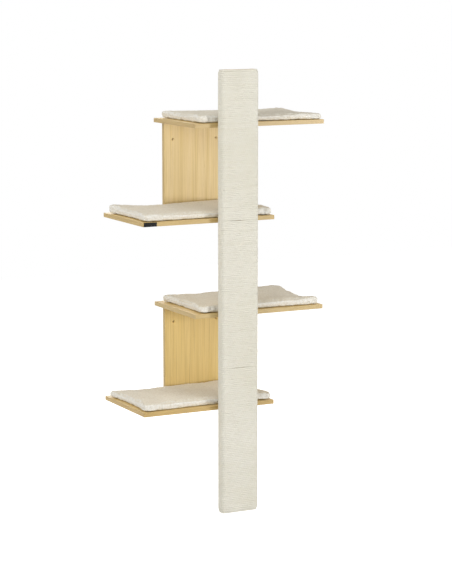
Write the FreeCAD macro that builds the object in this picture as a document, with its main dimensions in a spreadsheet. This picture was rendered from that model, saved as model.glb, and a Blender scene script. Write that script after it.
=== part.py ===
import FreeCAD, Part
import math
import os

import Sketcher
from FreeCAD import Placement, Rotation, Vector

# Cat wall shelf: two Z-shaped shelf units, one above the other, tied at the front by one tall
# scratching post in three sections, each wound with sisal rope. Lengths are in millimetres.
# The origin is midway between the upper panel's two wall screws, on the wall plane. +X runs right
# along the wall, +Y into the wall and +Z up, so the whole shelf stands at Y below 0.

SIZES = {
    # Boards
    "board_thickness": 15.0,
    "shelf_length": 508.0,
    "shelf_depth": 335.0,
    "panel_width": 244.0,
    "panel_height": 315.0,
    # From a panel's side to the near end of the shelves that it joins
    "panel_inset": 33.0,
    # From the upper unit down to the lower unit
    "unit_pitch": 663.0,
    "edge_band": 1.0,
    "band_round": 0.5,
    # Wall screw holes, countersunk in the panel's front
    "wall_hole_spacing": 172.0,
    "wall_hole_drop": 63.0,
    "wall_hole_diameter": 5.5,
    "wall_sink_diameter": 11.0,
    # Screws and dowels between a shelf and its panel
    "fit_gap": 0.1,
    "hole_spare": 1.0,
    "screw_spacing": 160.0,
    "screw_length": 50.0,
    "screw_head_diameter": 10.0,
    "screw_shank_diameter": 7.0,
    "screw_thread_diameter": 6.0,
    "screw_tip_length": 4.0,
    "screw_socket_width": 4.0,
    "screw_socket_depth": 3.0,
    "dowel_spacing": 80.0,
    "dowel_diameter": 8.0,
    "dowel_length": 35.0,
    "dowel_in_shelf": 10.0,
    "dowel_chamfer": 0.8,
    # Scratching post
    "section_length": 520.0,
    "post_rise": 184.0,
    "core_width": 132.0,
    "core_thickness": 30.0,
    "core_edge_radius": 6.0,
    "rope_diameter": 6.0,
    "rope_seat": 0.3,
    # The turns lie at least this far apart
    "rope_gap": 0.65,
    # Turns at each end of a section that are made as rope, the rest of the winding being a sleeve
    "end_turns": 3,
    "stud_diameter": 8.0,
    "stud_length": 80.0,
    "post_dowel_spacing": 50.0,
    "post_dowel_diameter": 10.0,
    "post_dowel_length": 60.0,
    # Angle brackets between the shelves' undersides and the post's back
    "bracket_spacing": 80.0,
    "bracket_leg": 40.0,
    "bracket_width": 20.0,
    "bracket_thickness": 2.0,
    "bracket_bend": 1.0,
    "bracket_hole_diameter": 4.2,
    "bracket_shelf_hole_near": 15.0,
    "bracket_shelf_hole_far": 31.0,
    "bracket_post_hole_near": 22.0,
    "bracket_post_hole_far": 33.0,
    "bracket_screw_diameter": 3.5,
    "bracket_screw_head": 7.0,
    "bracket_screw_head_height": 2.2,
    "bracket_screw_into_shelf": 10.0,
    "bracket_screw_into_post": 20.0,
    # Fleece pads
    # A pad is shorter than its shelf by this much, and stops short of the shelf's back and front
    "pad_end_room": 28.0,
    "pad_back_gap": 18.0,
    "pad_front_gap": 9.0,
    "pad_edge_height": 22.5,
    "pad_crown": 4.5,
    "pad_draw": 4.0,
    "pad_corner_radius": 18.0,
    "pad_seat": 0.3,
    # From a shelf's left end to its pad
    "top_pad_inset": 22.0,
    "second_pad_inset": 20.0,
    "third_pad_inset": 17.0,
    "bottom_pad_inset": 11.0,
    # Hook-and-loop tabs that hold the pads down
    "tab_length": 60.0,
    "tab_width": 25.0,
    "tab_thickness": 1.0,
    "tab_inset": 48.0,
    "tab_clearance": 1.0,
}

# Each shelf: its name, its unit counted downwards, and whether it is the unit's upper shelf
TIERS = (("top", 0, True), ("second", 0, False), ("third", 1, True), ("bottom", 1, False))
UNITS = ("upper", "lower")
SECTIONS = ("top", "middle", "bottom")
SIDES = (("left", -1), ("right", 1))

# The rope's section is a polygon with this many sides
ROPE_SIDES = 8
# In rope diameters: the straight run at a cut end, and from a corner to where the rope climbs a turn
CUT_RUN = 1.2
CLIMB_INSET = 1.6
# In shares of the height: a pad's outline, as height up its edge and inset, and then up its crown
PAD_EDGE = ((0.0, 4.0), (0.25, 0.8), (0.55, 0.0), (0.85, 1.6), (1.0, 6.0))
PAD_TOP = ((0.5, 0.27), (0.85, 0.56), (1.0, 0.86))

# In shares of the head's radius and height, and of the shank's radius: a pan head's top and rim, and a point
HEAD_TOP = 0.7
HEAD_RIM = 0.55
SCREW_POINT = 0.33
# The most of an edge band's thickness that its rounding takes
BAND_ROUND_LIMIT = 0.8
COUNTERSINK_ANGLE = 90.0

ROUND = 360.0
HALF_TURN = 180.0
NEAR = 1e-6
Z_AXIS = Vector(0, 0, 1)
Y_AXIS = Vector(0, 1, 0)
X_AXIS = Vector(1, 0, 0)

doc = FreeCAD.newDocument("cat_wall_shelf")
sheet = doc.addObject("Spreadsheet::Sheet", "Sizes")
for row, (alias, number) in enumerate(SIZES.items(), 1):
    sheet.set(f"A{row}", alias)
    sheet.set(f"B{row}", str(number))
    sheet.setAlias(f"B{row}", alias)
doc.recompute()

parts = []
cuts = []


def size(alias):
    return float(sheet.get(alias))


def bind(thing, expressions):
    for name, text in expressions.items():
        thing.setExpression(name, text)


def keep(thing, label):
    """Marks a document object as one of the finished sub-parts."""
    thing.Label = label
    parts.append(thing)


def keep_shape(label, shape, place=None):
    """A sub-part whose shape comes straight from Part's own functions."""
    feature = doc.addObject("Part::Feature", label)
    feature.Shape = shape
    if place is not None:
        feature.Placement = place
    keep(feature, label)


# Sketches and holes

def add_sketch(body, name, role, offset="0"):
    plane = next(f for f in body.Origin.OriginFeatures if f.Role == role)
    sketch = body.newObject("Sketcher::SketchObject", name)
    sketch.AttachmentSupport = [(plane, "")]
    sketch.MapMode = "FlatFace"
    sketch.setExpression("AttachmentOffset.Base.z", offset)
    return sketch


def add_datum(sketch, name, constraint, text):
    index = sketch.addConstraint(constraint)
    sketch.renameConstraint(index, name)
    sketch.setExpression("Constraints." + name, text)


def add_outline(sketch, corners):
    """A closed outline of level and upright lines through corners, each a pair of expressions."""
    count = len(corners)
    angles = [math.tau * i / count for i in range(count)]
    start = [Vector(math.cos(a), math.sin(a), 0) for a in angles]
    lines = [Part.LineSegment(start[i], start[(i + 1) % count]) for i in range(count)]
    sketch.addGeometry(lines, False)
    for i in range(count):
        sketch.addConstraint(Sketcher.Constraint("Coincident", i, 2, (i + 1) % count, 1))
    for i, (x_text, y_text) in enumerate(corners):
        across = Sketcher.Constraint("DistanceX", -1, 1, i, 1, start[i].x)
        up = Sketcher.Constraint("DistanceY", -1, 1, i, 1, start[i].y)
        add_datum(sketch, f"x{i}", across, x_text)
        add_datum(sketch, f"y{i}", up, y_text)


def add_rectangle(sketch, left, right, low, high):
    add_outline(sketch, ((left, low), (right, low), (right, high), (left, high)))


def add_circles(sketch, centres, diameter):
    for i, (x_text, y_text) in enumerate(centres):
        sketch.addGeometry(Part.Circle(Vector(i, i, 0), Z_AXIS, 1.0), False)
        add_datum(sketch, f"x{i}", Sketcher.Constraint("DistanceX", -1, 1, i, 3, float(i)), x_text)
        add_datum(sketch, f"y{i}", Sketcher.Constraint("DistanceY", -1, 1, i, 3, float(i)), y_text)
        add_datum(sketch, f"d{i}", Sketcher.Constraint("Diameter", i, 2.0), diameter)


def pad_sketch(body, sketch, length):
    pad = body.newObject("PartDesign::Pad", "pad")
    pad.Profile = sketch
    pad.setExpression("Length", length)
    return pad


def drill(body, name, role, offset, centres, diameter, depth, reverse=False):
    """Plain round holes, sunk from a sketch that stands off one of the body's planes."""
    sketch = add_sketch(body, name + "_sketch", role, offset)
    add_circles(sketch, centres, diameter)
    pocket = body.newObject("PartDesign::Pocket", name)
    pocket.Profile = sketch
    pocket.Type = "Length"
    pocket.Reversed = reverse
    pocket.setExpression("Length", depth)
    cuts.append(pocket)


def countersink(body, name, role, offset, centres, diameter, head_diameter):
    """Through holes with a countersink at the sketch."""
    sketch = add_sketch(body, name + "_sketch", role, offset)
    add_circles(sketch, centres, diameter)
    doc.recompute()
    hole = body.newObject("PartDesign::Hole", name)
    hole.Profile = sketch
    doc.recompute()
    hole.ThreadType = "None"
    hole.DepthType = "ThroughAll"
    hole.HoleCutType = "Countersink"
    hole.HoleCutCustomValues = True
    hole.HoleCutCountersinkAngle = COUNTERSINK_ANGLE
    bind(hole, {"Diameter": diameter, "HoleCutDiameter": head_diameter})
    cuts.append(hole)


def pair(spacing, across):
    """Two hole centres, either side of the middle."""
    return ((f"-{spacing} / 2", across), (f"{spacing} / 2", across))


def turned(profile):
    """A turned piece on the Z axis, from (radius, height) points that start and end on the axis."""
    points = [Vector(radius, 0, height) for radius, height in profile]
    face = Part.Face(Part.makePolygon(points + points[:1]))
    return face.revolve(Vector(), Z_AXIS, ROUND)


def placed(shape, *places):
    return [shape.copy().transformed(place.toMatrix()) for place in places]


# Heights and places that several pieces share

def panel_top(unit):
    return size("wall_hole_drop") - unit * size("unit_pitch")


def shelf_low(unit, is_upper):
    """Height of a shelf's underside."""
    if is_upper:
        return panel_top(unit)
    return panel_top(unit) - size("panel_height") - size("board_thickness")


def shelf_low_text(unit, is_upper):
    """The same height as an expression."""
    text = f"Sizes.wall_hole_drop - {unit} * Sizes.unit_pitch"
    return text if is_upper else text + " - Sizes.panel_height - Sizes.board_thickness"


def shelf_left(is_upper):
    near_end = size("panel_width") / 2 + size("panel_inset")
    return -near_end if is_upper else near_end - size("shelf_length")


def post_top():
    return shelf_low(0, True) + size("board_thickness") + size("post_rise")


def core_middle():
    """Y of the post cores' middle plane: the winding's back lies on the shelves' front edges."""
    winding = size("rope_diameter") + size("rope_seat")
    return -size("shelf_depth") - winding - size("core_thickness") / 2


def pad_length():
    return size("shelf_length") - size("pad_end_room")


def pad_depth():
    return size("shelf_depth") - size("pad_back_gap") - size("pad_front_gap")


# Boards

PANEL_MIDDLE = "-Sizes.board_thickness / 2"
SCREWS_ACROSS = pair("Sizes.screw_spacing", PANEL_MIDDLE)
DOWELS_ACROSS = pair("Sizes.dowel_spacing", PANEL_MIDDLE)
DOWEL_HOLE = "Sizes.dowel_diameter + 2 * Sizes.fit_gap"
BRACKET_PILOTS = tuple(
    (f"{side} * Sizes.bracket_spacing / 2", f"Sizes.bracket_shelf_hole_{reach} - Sizes.shelf_depth")
    for name, side in SIDES
    for reach in ("near", "far")
)


def make_shelf(tier, unit, is_upper):
    """A shelf board in its upright place, z = 0 on the face that meets the panel; a unit's lower
    shelf is the same board turned half round about Y."""
    body = doc.addObject("PartDesign::Body", tier + "_shelf")
    outline = add_sketch(body, "outline", "XY_Plane")
    near_end = "Sizes.panel_width / 2 + Sizes.panel_inset"
    add_rectangle(
        outline,
        f"Sizes.edge_band - ({near_end})",
        f"Sizes.shelf_length - Sizes.edge_band - ({near_end})",
        "Sizes.edge_band - Sizes.shelf_depth",
        "-Sizes.edge_band",
    )
    pad_sketch(body, outline, "Sizes.board_thickness")
    countersink(
        body, "screw_holes", "XY_Plane", "Sizes.board_thickness", SCREWS_ACROSS,
        "Sizes.screw_shank_diameter + 2 * Sizes.fit_gap", "Sizes.screw_head_diameter + 2 * Sizes.fit_gap",
    )
    dowel_depth = "Sizes.dowel_in_shelf + Sizes.hole_spare"
    drill(body, "dowel_holes", "XY_Plane", "0", DOWELS_ACROSS, DOWEL_HOLE, dowel_depth, reverse=True)
    underside = "0" if is_upper else "Sizes.board_thickness"
    drill(
        body, "bracket_pilots", "XY_Plane", underside, BRACKET_PILOTS,
        "Sizes.bracket_screw_diameter + 2 * Sizes.fit_gap",
        "Sizes.bracket_screw_into_shelf + Sizes.hole_spare", reverse=is_upper,
    )
    panel_face = shelf_low_text(unit, is_upper)
    if not is_upper:
        panel_face += " + Sizes.board_thickness"
        body.Placement = Placement(Vector(), Rotation(Y_AXIS, HALF_TURN))
    body.setExpression("Placement.Base.z", panel_face)
    keep(body, tier + "_shelf")


def outer_edges(shape):
    """Numbers of the edges that lie on the outer sides of a level frame."""
    box = shape.BoundBox
    found = []
    for number, edge in enumerate(shape.Edges, 1):
        b = edge.BoundBox
        on_end = b.XLength < NEAR and min(abs(b.XMin - box.XMin), abs(b.XMax - box.XMax)) < NEAR
        on_side = b.YLength < NEAR and min(abs(b.YMin - box.YMin), abs(b.YMax - box.YMax)) < NEAR
        if on_end or on_side:
            found.append(number)
    return found


def make_shelf_band(tier, unit, is_upper):
    """The edge band round a shelf board, with its outer edges eased."""
    near_end = "(Sizes.panel_width / 2 + Sizes.panel_inset)"
    left = f"-{near_end}" if is_upper else f"{near_end} - Sizes.shelf_length"
    solids = []
    for name, inset in (("outer", "0"), ("inner", "Sizes.edge_band")):
        block = doc.addObject("Part::Box", f"{tier}_band_{name}")
        bind(block, {
            "Length": f"Sizes.shelf_length - 2 * {inset}",
            "Width": f"Sizes.shelf_depth - 2 * {inset}",
            "Height": "Sizes.board_thickness",
            "Placement.Base.x": f"{left} + {inset}",
            "Placement.Base.y": f"{inset} - Sizes.shelf_depth",
            "Placement.Base.z": shelf_low_text(unit, is_upper),
        })
        solids.append(block)
    frame = doc.addObject("Part::Cut", tier + "_band_frame")
    frame.Base, frame.Tool = solids
    doc.recompute()
    eased = doc.addObject("Part::Fillet", tier + "_edge_band")
    eased.Base = frame
    radius = min(size("band_round"), BAND_ROUND_LIMIT * size("edge_band"))
    eased.Edges = [(number, radius, radius) for number in outer_edges(frame.Shape)]
    keep(eased, tier + "_shelf_edge_band")


def make_panel(unit, name):
    """A back panel, z = 0 at its wall screws, y = 0 on the wall."""
    body = doc.addObject("PartDesign::Body", name + "_back_panel")
    top = "Sizes.wall_hole_drop"
    bottom = "Sizes.wall_hole_drop - Sizes.panel_height"
    half = "(Sizes.panel_width / 2 - Sizes.edge_band)"
    outline = add_sketch(body, "outline", "XZ_Plane")
    add_rectangle(outline, f"-{half}", half, bottom, top)
    pad_sketch(body, outline, "Sizes.board_thickness")
    countersink(
        body, "wall_holes", "XZ_Plane", "Sizes.board_thickness", pair("Sizes.wall_hole_spacing", "0"),
        "Sizes.wall_hole_diameter", "Sizes.wall_sink_diameter",
    )
    screw_hole = "Sizes.screw_thread_diameter + 2 * Sizes.fit_gap"
    screw_depth = "Sizes.screw_length - Sizes.board_thickness + Sizes.hole_spare"
    dowel_depth = "Sizes.dowel_length - Sizes.dowel_in_shelf + Sizes.hole_spare"
    for edge, height, upwards in (("top", top, False), ("bottom", bottom, True)):
        drill(body, edge + "_screws", "XY_Plane", height, SCREWS_ACROSS, screw_hole, screw_depth, upwards)
        drill(body, edge + "_dowels", "XY_Plane", height, DOWELS_ACROSS, DOWEL_HOLE, dowel_depth, upwards)
    body.setExpression("Placement.Base.z", f"-{unit} * Sizes.unit_pitch")
    keep(body, name + "_back_panel")


def make_panel_bands(unit, name):
    """The bands on a panel's two upright edges."""
    strips = []
    half = "Sizes.panel_width / 2"
    for side, left in (("left", f"-{half}"), ("right", f"{half} - Sizes.edge_band")):
        strip = doc.addObject("Part::Box", f"{name}_panel_{side}_band")
        bind(strip, {
            "Length": "Sizes.edge_band",
            "Width": "Sizes.board_thickness",
            "Height": "Sizes.panel_height",
            "Placement.Base.x": left,
            "Placement.Base.y": "-Sizes.board_thickness",
            "Placement.Base.z": f"Sizes.wall_hole_drop - Sizes.panel_height - {unit} * Sizes.unit_pitch",
        })
        strips.append(strip)
    both = doc.addObject("Part::Compound", name + "_panel_bands")
    both.Links = strips
    keep(both, name + "_panel_edge_bands")


# Screws and dowels between a shelf and its panel

def confirmat():
    """A countersunk panel screw, its head's face at z = 0 and its point along +Z, with a hex socket."""
    head = size("screw_head_diameter") / 2
    shank = size("screw_shank_diameter") / 2
    thread = size("screw_thread_diameter") / 2
    shoulder = size("board_thickness")
    length = size("screw_length")
    tip = length - size("screw_tip_length")
    body = turned((
        (0, 0), (head, 0), (shank, head - shank), (shank, shoulder), (thread, shoulder),
        (thread, tip), (thread * SCREW_POINT, length), (0, length),
    ))
    corner = size("screw_socket_width") / math.sqrt(3)
    angles = [math.tau * i / 6 for i in range(7)]
    corners = [Vector(corner * math.cos(a), corner * math.sin(a), 0) for a in angles]
    socket = Part.Face(Part.makePolygon(corners)).extrude(Vector(0, 0, size("screw_socket_depth")))
    return body.cut(socket)


def peg(diameter, length, chamfer):
    """A round peg standing on z = 0 with both ends chamfered."""
    radius = diameter / 2
    return turned((
        (0, 0), (radius - chamfer, 0), (radius, chamfer),
        (radius, length - chamfer), (radius - chamfer, length), (0, length),
    ))


def make_shelf_joints():
    screws = []
    dowels = []
    middle = -size("board_thickness") / 2
    for tier, unit, is_upper in TIERS:
        low = shelf_low(unit, is_upper)
        top = low + size("board_thickness")
        for name, side in SIDES:
            across = side * size("screw_spacing") / 2
            turn = Rotation(X_AXIS, HALF_TURN if is_upper else 0)
            screws.append(Placement(Vector(across, middle, top if is_upper else low), turn))
            across = side * size("dowel_spacing") / 2
            foot = top - size("dowel_in_shelf")
            if is_upper:
                foot = low + size("dowel_in_shelf") - size("dowel_length")
            dowels.append(Placement(Vector(across, middle, foot), Rotation()))
    dowel = peg(size("dowel_diameter"), size("dowel_length"), size("dowel_chamfer"))
    keep_shape("shelf_screws", Part.makeCompound(placed(confirmat(), *screws)))
    keep_shape("shelf_dowels", Part.makeCompound(placed(dowel, *dowels)))


# Angle brackets and their screws

def make_bracket(tier, side_name, side, low):
    """An angle bracket, its bend at the origin: one leg under the shelf, one down the post's back."""
    body = doc.addObject("PartDesign::Body", f"{tier}_bracket_{side_name}")
    leg = "Sizes.bracket_leg"
    wall = "Sizes.bracket_thickness"
    profile = add_sketch(body, "profile", "YZ_Plane", "-Sizes.bracket_width / 2")
    add_outline(profile, (
        ("0", "0"), (leg, "0"), (leg, f"-{wall}"), (wall, f"-{wall}"), (wall, f"-{leg}"), ("0", f"-{leg}"),
    ))
    pad = pad_sketch(body, profile, "Sizes.bracket_width")
    doc.recompute()
    inner_corner = Vector(0, size("bracket_thickness"), -size("bracket_thickness"))
    names = [
        f"Edge{number}" for number, edge in enumerate(pad.Shape.Edges, 1)
        if edge.CenterOfMass.isEqual(inner_corner, NEAR)
    ]
    bend = body.newObject("PartDesign::Fillet", "bend")
    bend.Base = (pad, names)
    bend.setExpression("Radius", "Sizes.bracket_bend")
    hole = "Sizes.bracket_hole_diameter"
    shelf_holes = [("0", f"Sizes.bracket_shelf_hole_{reach}") for reach in ("near", "far")]
    post_holes = [("0", f"-Sizes.bracket_post_hole_{reach}") for reach in ("near", "far")]
    drill(body, "shelf_holes", "XY_Plane", "0", shelf_holes, hole, wall)
    drill(body, "post_holes", "XZ_Plane", "0", post_holes, hole, wall)
    bind(body, {
        "Placement.Base.x": f"{side} * Sizes.bracket_spacing / 2",
        "Placement.Base.y": "-Sizes.shelf_depth",
        "Placement.Base.z": low,
    })
    keep(body, f"{tier}_bracket_{side_name}")


def wood_screw(reach):
    """A pan-head screw with its head below z = 0, the bracket's face, and its point along +Z."""
    head = size("bracket_screw_head") / 2
    height = size("bracket_screw_head_height")
    shank = size("bracket_screw_diameter") / 2
    length = size("bracket_thickness") + reach
    return turned((
        (0, -height), (head * HEAD_TOP, -height), (head, -height * HEAD_RIM), (head, 0), (shank, 0),
        (shank, length - 2 * shank), (shank * SCREW_POINT, length), (0, length),
    ))


def bracket_screw_places():
    """(places of the screws into the shelves, places of the screws into the post)"""
    into_shelf = []
    into_post = []
    wall = size("bracket_thickness")
    face = wall - size("shelf_depth")
    for tier, unit, is_upper in TIERS:
        low = shelf_low(unit, is_upper)
        for name, side in SIDES:
            across = side * size("bracket_spacing") / 2
            for reach in ("near", "far"):
                back = size(f"bracket_shelf_hole_{reach}") - size("shelf_depth")
                into_shelf.append(Placement(Vector(across, back, low - wall), Rotation()))
                down = low - size(f"bracket_post_hole_{reach}")
                into_post.append(Placement(Vector(across, face, down), Rotation(Z_AXIS, -Y_AXIS)))
    return into_shelf, into_post


def make_bracket_screws():
    into_shelf, into_post = bracket_screw_places()
    short = wood_screw(size("bracket_screw_into_shelf"))
    long = wood_screw(size("bracket_screw_into_post"))
    keep_shape("bracket_shelf_screws", Part.makeCompound(placed(short, *into_shelf)))
    keep_shape("bracket_post_screws", Part.makeCompound(placed(long, *into_post)))


def post_screw_bores():
    """What the screws into the post clear out of the cores and the windings, as one tool."""
    radius = size("bracket_screw_diameter") / 2 + size("fit_gap")
    depth = size("bracket_thickness") + size("bracket_screw_into_post") + size("hole_spare")
    bore = Part.makeCylinder(radius, depth)
    return Part.makeCompound(placed(bore, *bracket_screw_places()[1]))


# Scratching post

def make_core(name, low, ends, bores):
    """A post core with rounded upright edges, and a stud hole and dowel holes in the ends that join."""
    body = doc.addObject("PartDesign::Body", name + "_core_blank")
    outline = add_sketch(body, "outline", "XY_Plane")
    half_width = "Sizes.core_width / 2"
    half_thick = "Sizes.core_thickness / 2"
    add_rectangle(outline, f"-{half_width}", half_width, f"-{half_thick}", half_thick)
    pad = pad_sketch(body, outline, "Sizes.section_length")
    doc.recompute()
    upright = [
        f"Edge{number}" for number, edge in enumerate(pad.Shape.Edges, 1)
        if edge.BoundBox.ZLength > edge.Length / 2
    ]
    rounds = body.newObject("PartDesign::Fillet", "rounds")
    rounds.Base = (pad, upright)
    rounds.setExpression("Radius", "Sizes.core_edge_radius")
    stud = "Sizes.stud_diameter + 2 * Sizes.fit_gap"
    stud_depth = "Sizes.stud_length / 2 + Sizes.hole_spare"
    dowel = "Sizes.post_dowel_diameter + 2 * Sizes.fit_gap"
    dowel_depth = "Sizes.post_dowel_length / 2 + Sizes.hole_spare"
    for end, height, upwards in (("top", "Sizes.section_length", False), ("bottom", "0", True)):
        if end in ends:
            drill(body, end + "_stud", "XY_Plane", height, (("0", "0"),), stud, stud_depth, upwards)
            drill(
                body, end + "_dowels", "XY_Plane", height, pair("Sizes.post_dowel_spacing", "0"),
                dowel, dowel_depth, upwards,
            )
    body.Placement = Placement(Vector(0, core_middle(), low), Rotation())
    core = doc.addObject("Part::Cut", f"post_core_{name}")
    core.Base = body
    core.Tool = bores
    keep(core, f"post_core_{name}")


def make_post_joints():
    stud = peg(size("stud_diameter"), size("stud_length"), size("dowel_chamfer"))
    dowel = peg(size("post_dowel_diameter"), size("post_dowel_length"), size("dowel_chamfer"))
    studs = []
    dowels = []
    for joint in range(1, len(SECTIONS)):
        height = post_top() - joint * size("section_length")
        studs.append(Placement(Vector(0, core_middle(), height - size("stud_length") / 2), Rotation()))
        foot = height - size("post_dowel_length") / 2
        for name, side in SIDES:
            across = side * size("post_dowel_spacing") / 2
            dowels.append(Placement(Vector(across, core_middle(), foot), Rotation()))
    keep_shape("post_studs", Part.makeCompound(placed(stud, *studs)))
    keep_shape("post_dowels", Part.makeCompound(placed(dowel, *dowels)))


# Rope winding: a section's own frame has z = 0 at its lower end and y = 0 at the core's middle

def rope_pitch():
    """A section holds a whole number of turns."""
    turns = math.floor(size("section_length") / (size("rope_diameter") + size("rope_gap")))
    return size("section_length") / turns


def climb_half():
    """Half the length of the run on the post's back where the rope climbs to its next turn."""
    straight = size("core_width") / 2 - size("core_edge_radius")
    return straight - CLIMB_INSET * size("rope_diameter")


def climb_arcs(depth, low):
    """The rope's climb by one pitch, as two equal arcs, level at both ends."""
    half = climb_half()
    rise = rope_pitch()
    radius = (half ** 2 + rise ** 2 / 4) / rise
    turn = math.asin(half / radius) / 2
    first = Vector(half, depth, low)
    middle = Vector(0, depth, low + rise / 2)
    bow = Vector(half - radius * math.sin(turn), depth, low + radius * (1 - math.cos(turn)))
    last = Vector(-half, depth, low + rise)
    return [Part.Arc(first, bow, middle), Part.Arc(middle, middle * 2 - bow, last)]


def level_turn(height, end_x):
    """One turn at one height, from the end of a climb on the back, round the post, to end_x there."""
    reach = size("rope_seat") + size("rope_diameter") / 2
    radius = size("core_edge_radius") + reach
    flat_x = size("core_width") / 2 - size("core_edge_radius")
    flat_y = size("core_thickness") / 2 - size("core_edge_radius")
    pieces = []
    here = Vector(-climb_half(), flat_y + radius, height)
    corners = ((-flat_x, flat_y), (-flat_x, -flat_y), (flat_x, -flat_y), (flat_x, flat_y))
    for quarter, (x, y) in enumerate(corners):
        start, middle, end = (
            Vector(x + radius * math.cos(a), y + radius * math.sin(a), height)
            for a in (math.pi / 2 * (quarter + 1 + step / 2) for step in range(3))
        )
        pieces += [Part.LineSegment(here, start), Part.Arc(start, middle, end)]
        here = end
    pieces.append(Part.LineSegment(here, Vector(end_x, flat_y + radius, height)))
    return pieces


def end_rope(low):
    """The last turns of a winding above low: rope that leaves the sleeve's step, climbs on the post's
    back once a turn, and stops in a cut end there."""
    across = size("rope_diameter")
    pitch = rope_pitch()
    half = climb_half()
    depth = size("core_thickness") / 2 + size("rope_seat") + across / 2
    start = Vector(half + CUT_RUN * across, depth, low - pitch / 2)
    path = [Part.LineSegment(start, Vector(half, depth, start.z))]
    turns = int(size("end_turns"))
    for turn in range(turns):
        height = low + (turn + 0.5) * pitch
        path += climb_arcs(depth, height - pitch)
        is_last = turn == turns - 1
        path += level_turn(height, half + (CLIMB_INSET - CUT_RUN) * across if is_last else half)
    wire = Part.Wire([piece.toShape() for piece in path])
    corner = across / 2 / math.cos(math.pi / ROPE_SIDES)
    angles = [math.tau * (i + 0.5) / ROPE_SIDES for i in range(ROPE_SIDES + 1)]
    ring = [start + Vector(0, corner * math.cos(a), corner * math.sin(a)) for a in angles]
    return wire, wire.makePipeShell([Part.makePolygon(ring)], True, False)


def rounded_bar(reach, low, high):
    """A bar with the core's outline, grown by reach."""
    half_x = size("core_width") / 2 + reach
    half_y = size("core_thickness") / 2 + reach
    bar = Part.makeBox(2 * half_x, 2 * half_y, high - low, Vector(-half_x, -half_y, low))
    upright = [edge for edge in bar.Edges if edge.BoundBox.ZLength > edge.Length / 2]
    return bar.makeFillet(size("core_edge_radius") + reach, upright)


def climb_cut(low):
    """What the first climb leaves open in the sleeve's end: a ramp up to low, and a step at its foot."""
    half = climb_half()
    pitch = rope_pitch()
    depth = size("core_thickness") / 2
    foot = half + CUT_RUN * size("rope_diameter")
    over = low + size("hole_spare")
    ramp = climb_arcs(depth, low - pitch)
    corners = [
        Vector(-half, depth, low), Vector(-half, depth, over), Vector(foot, depth, over),
        Vector(foot, depth, low - pitch), Vector(half, depth, low - pitch),
    ]
    edges = [arc.toShape() for arc in ramp]
    edges += [Part.makeLine(a, b) for a, b in zip(corners, corners[1:])]
    face = Part.Face(Part.Wire(Part.__sortEdges__(edges)))
    return face.extrude(Vector(0, size("rope_seat") + size("rope_diameter") + size("hole_spare"), 0))


def least_gap(wire):
    """The least gap between two turns of a rope, from points along its middle line."""
    steps_across = 3
    points = wire.discretize(Distance=size("rope_diameter") / steps_across)
    apart = 4 * steps_across
    distances = (
        points[i].distanceToPoint(points[j])
        for i in range(len(points)) for j in range(i + apart, len(points))
    )
    return min(distances) - size("rope_diameter")


def make_rope(name, low, bores):
    """A section's winding: end turns as rope at both ends, the many turns between as a ramped sleeve."""
    across = size("rope_diameter")
    seat = size("rope_seat")
    length = size("section_length")
    inset = size("end_turns") * rope_pitch()
    centre = Vector(0, 0, length / 2)
    wire, top_rope = end_rope(length - inset)
    sleeve = rounded_bar(seat + across, inset, length - inset)
    sleeve = sleeve.cut(rounded_bar(seat, inset, length - inset))
    ramp = climb_cut(length - inset)
    turned_over = [shape.copy() for shape in (top_rope, ramp)]
    for shape in turned_over:
        shape.rotate(centre, Y_AXIS, HALF_TURN)
    bottom_rope, bottom_ramp = turned_over
    place = Placement(Vector(0, core_middle(), low), Rotation())
    own_bores = bores.Shape.transformed(place.inverse().toMatrix())
    winding = [
        solid for shape in (sleeve.cut([ramp, bottom_ramp]), top_rope, bottom_rope)
        for solid in shape.cut(own_bores).Solids
    ]
    section = across ** 2 * ROPE_SIDES / 4 * math.tan(math.pi / ROPE_SIDES)
    share = top_rope.Volume / (section * wire.Length)
    print(f"post_rope_{name}: least gap {least_gap(wire):.3f}, volume over section times length {share:.4f}")
    keep_shape(f"post_rope_{name}", Part.makeCompound(winding), place)


def make_post():
    bores = doc.addObject("Part::Feature", "post_screw_bores")
    bores.Shape = post_screw_bores()
    joined_ends = (("bottom",), ("top", "bottom"), ("top",))
    for number, (name, ends) in enumerate(zip(SECTIONS, joined_ends), 1):
        low = post_top() - number * size("section_length")
        make_core(name, low, ends, bores)
        make_rope(name, low, bores)
    make_post_joints()


# Pads, and the hook-and-loop tabs under them

def pad_outline(inset, height):
    """A pad's outline at one height: four corner arcs, and sides that draw in between them."""
    half_x = pad_length() / 2 - inset
    half_y = pad_depth() / 2 - inset
    left_over = half_y / (pad_depth() / 2)
    radius = size("pad_corner_radius") * left_over
    draw = size("pad_draw") * left_over
    diagonal = radius * (1 - math.sqrt(0.5))
    quarter = (
        (half_x, half_y - radius), (half_x - diagonal, half_y - diagonal), (half_x - radius, half_y),
    )
    corners = [
        [
            Vector(x * flip_x, y * flip_y, height)
            for x, y in (quarter if flip_x == flip_y else quarter[::-1])
        ]
        for flip_x, flip_y in ((1, 1), (-1, 1), (-1, -1), (1, -1))
    ]
    middles = [(0, half_y - draw), (draw - half_x, 0), (0, draw - half_y), (half_x - draw, 0)]
    edges = []
    for i, corner in enumerate(corners):
        edges.append(Part.Arc(*corner).toShape())
        side = Vector(*middles[i], height)
        edges.append(Part.Arc(corner[2], side, corners[(i + 1) % 4][0]).toShape())
    return Part.Wire(edges)


def pad_form():
    """A crowned pad whose sides draw in, standing on z = 0."""
    edge = size("pad_edge_height")
    levels = [(inset, share * edge) for share, inset in PAD_EDGE]
    levels += [(share * pad_depth() / 2, edge + rise * size("pad_crown")) for rise, share in PAD_TOP]
    return Part.makeLoft([pad_outline(inset, height) for inset, height in levels], True, True)


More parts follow.
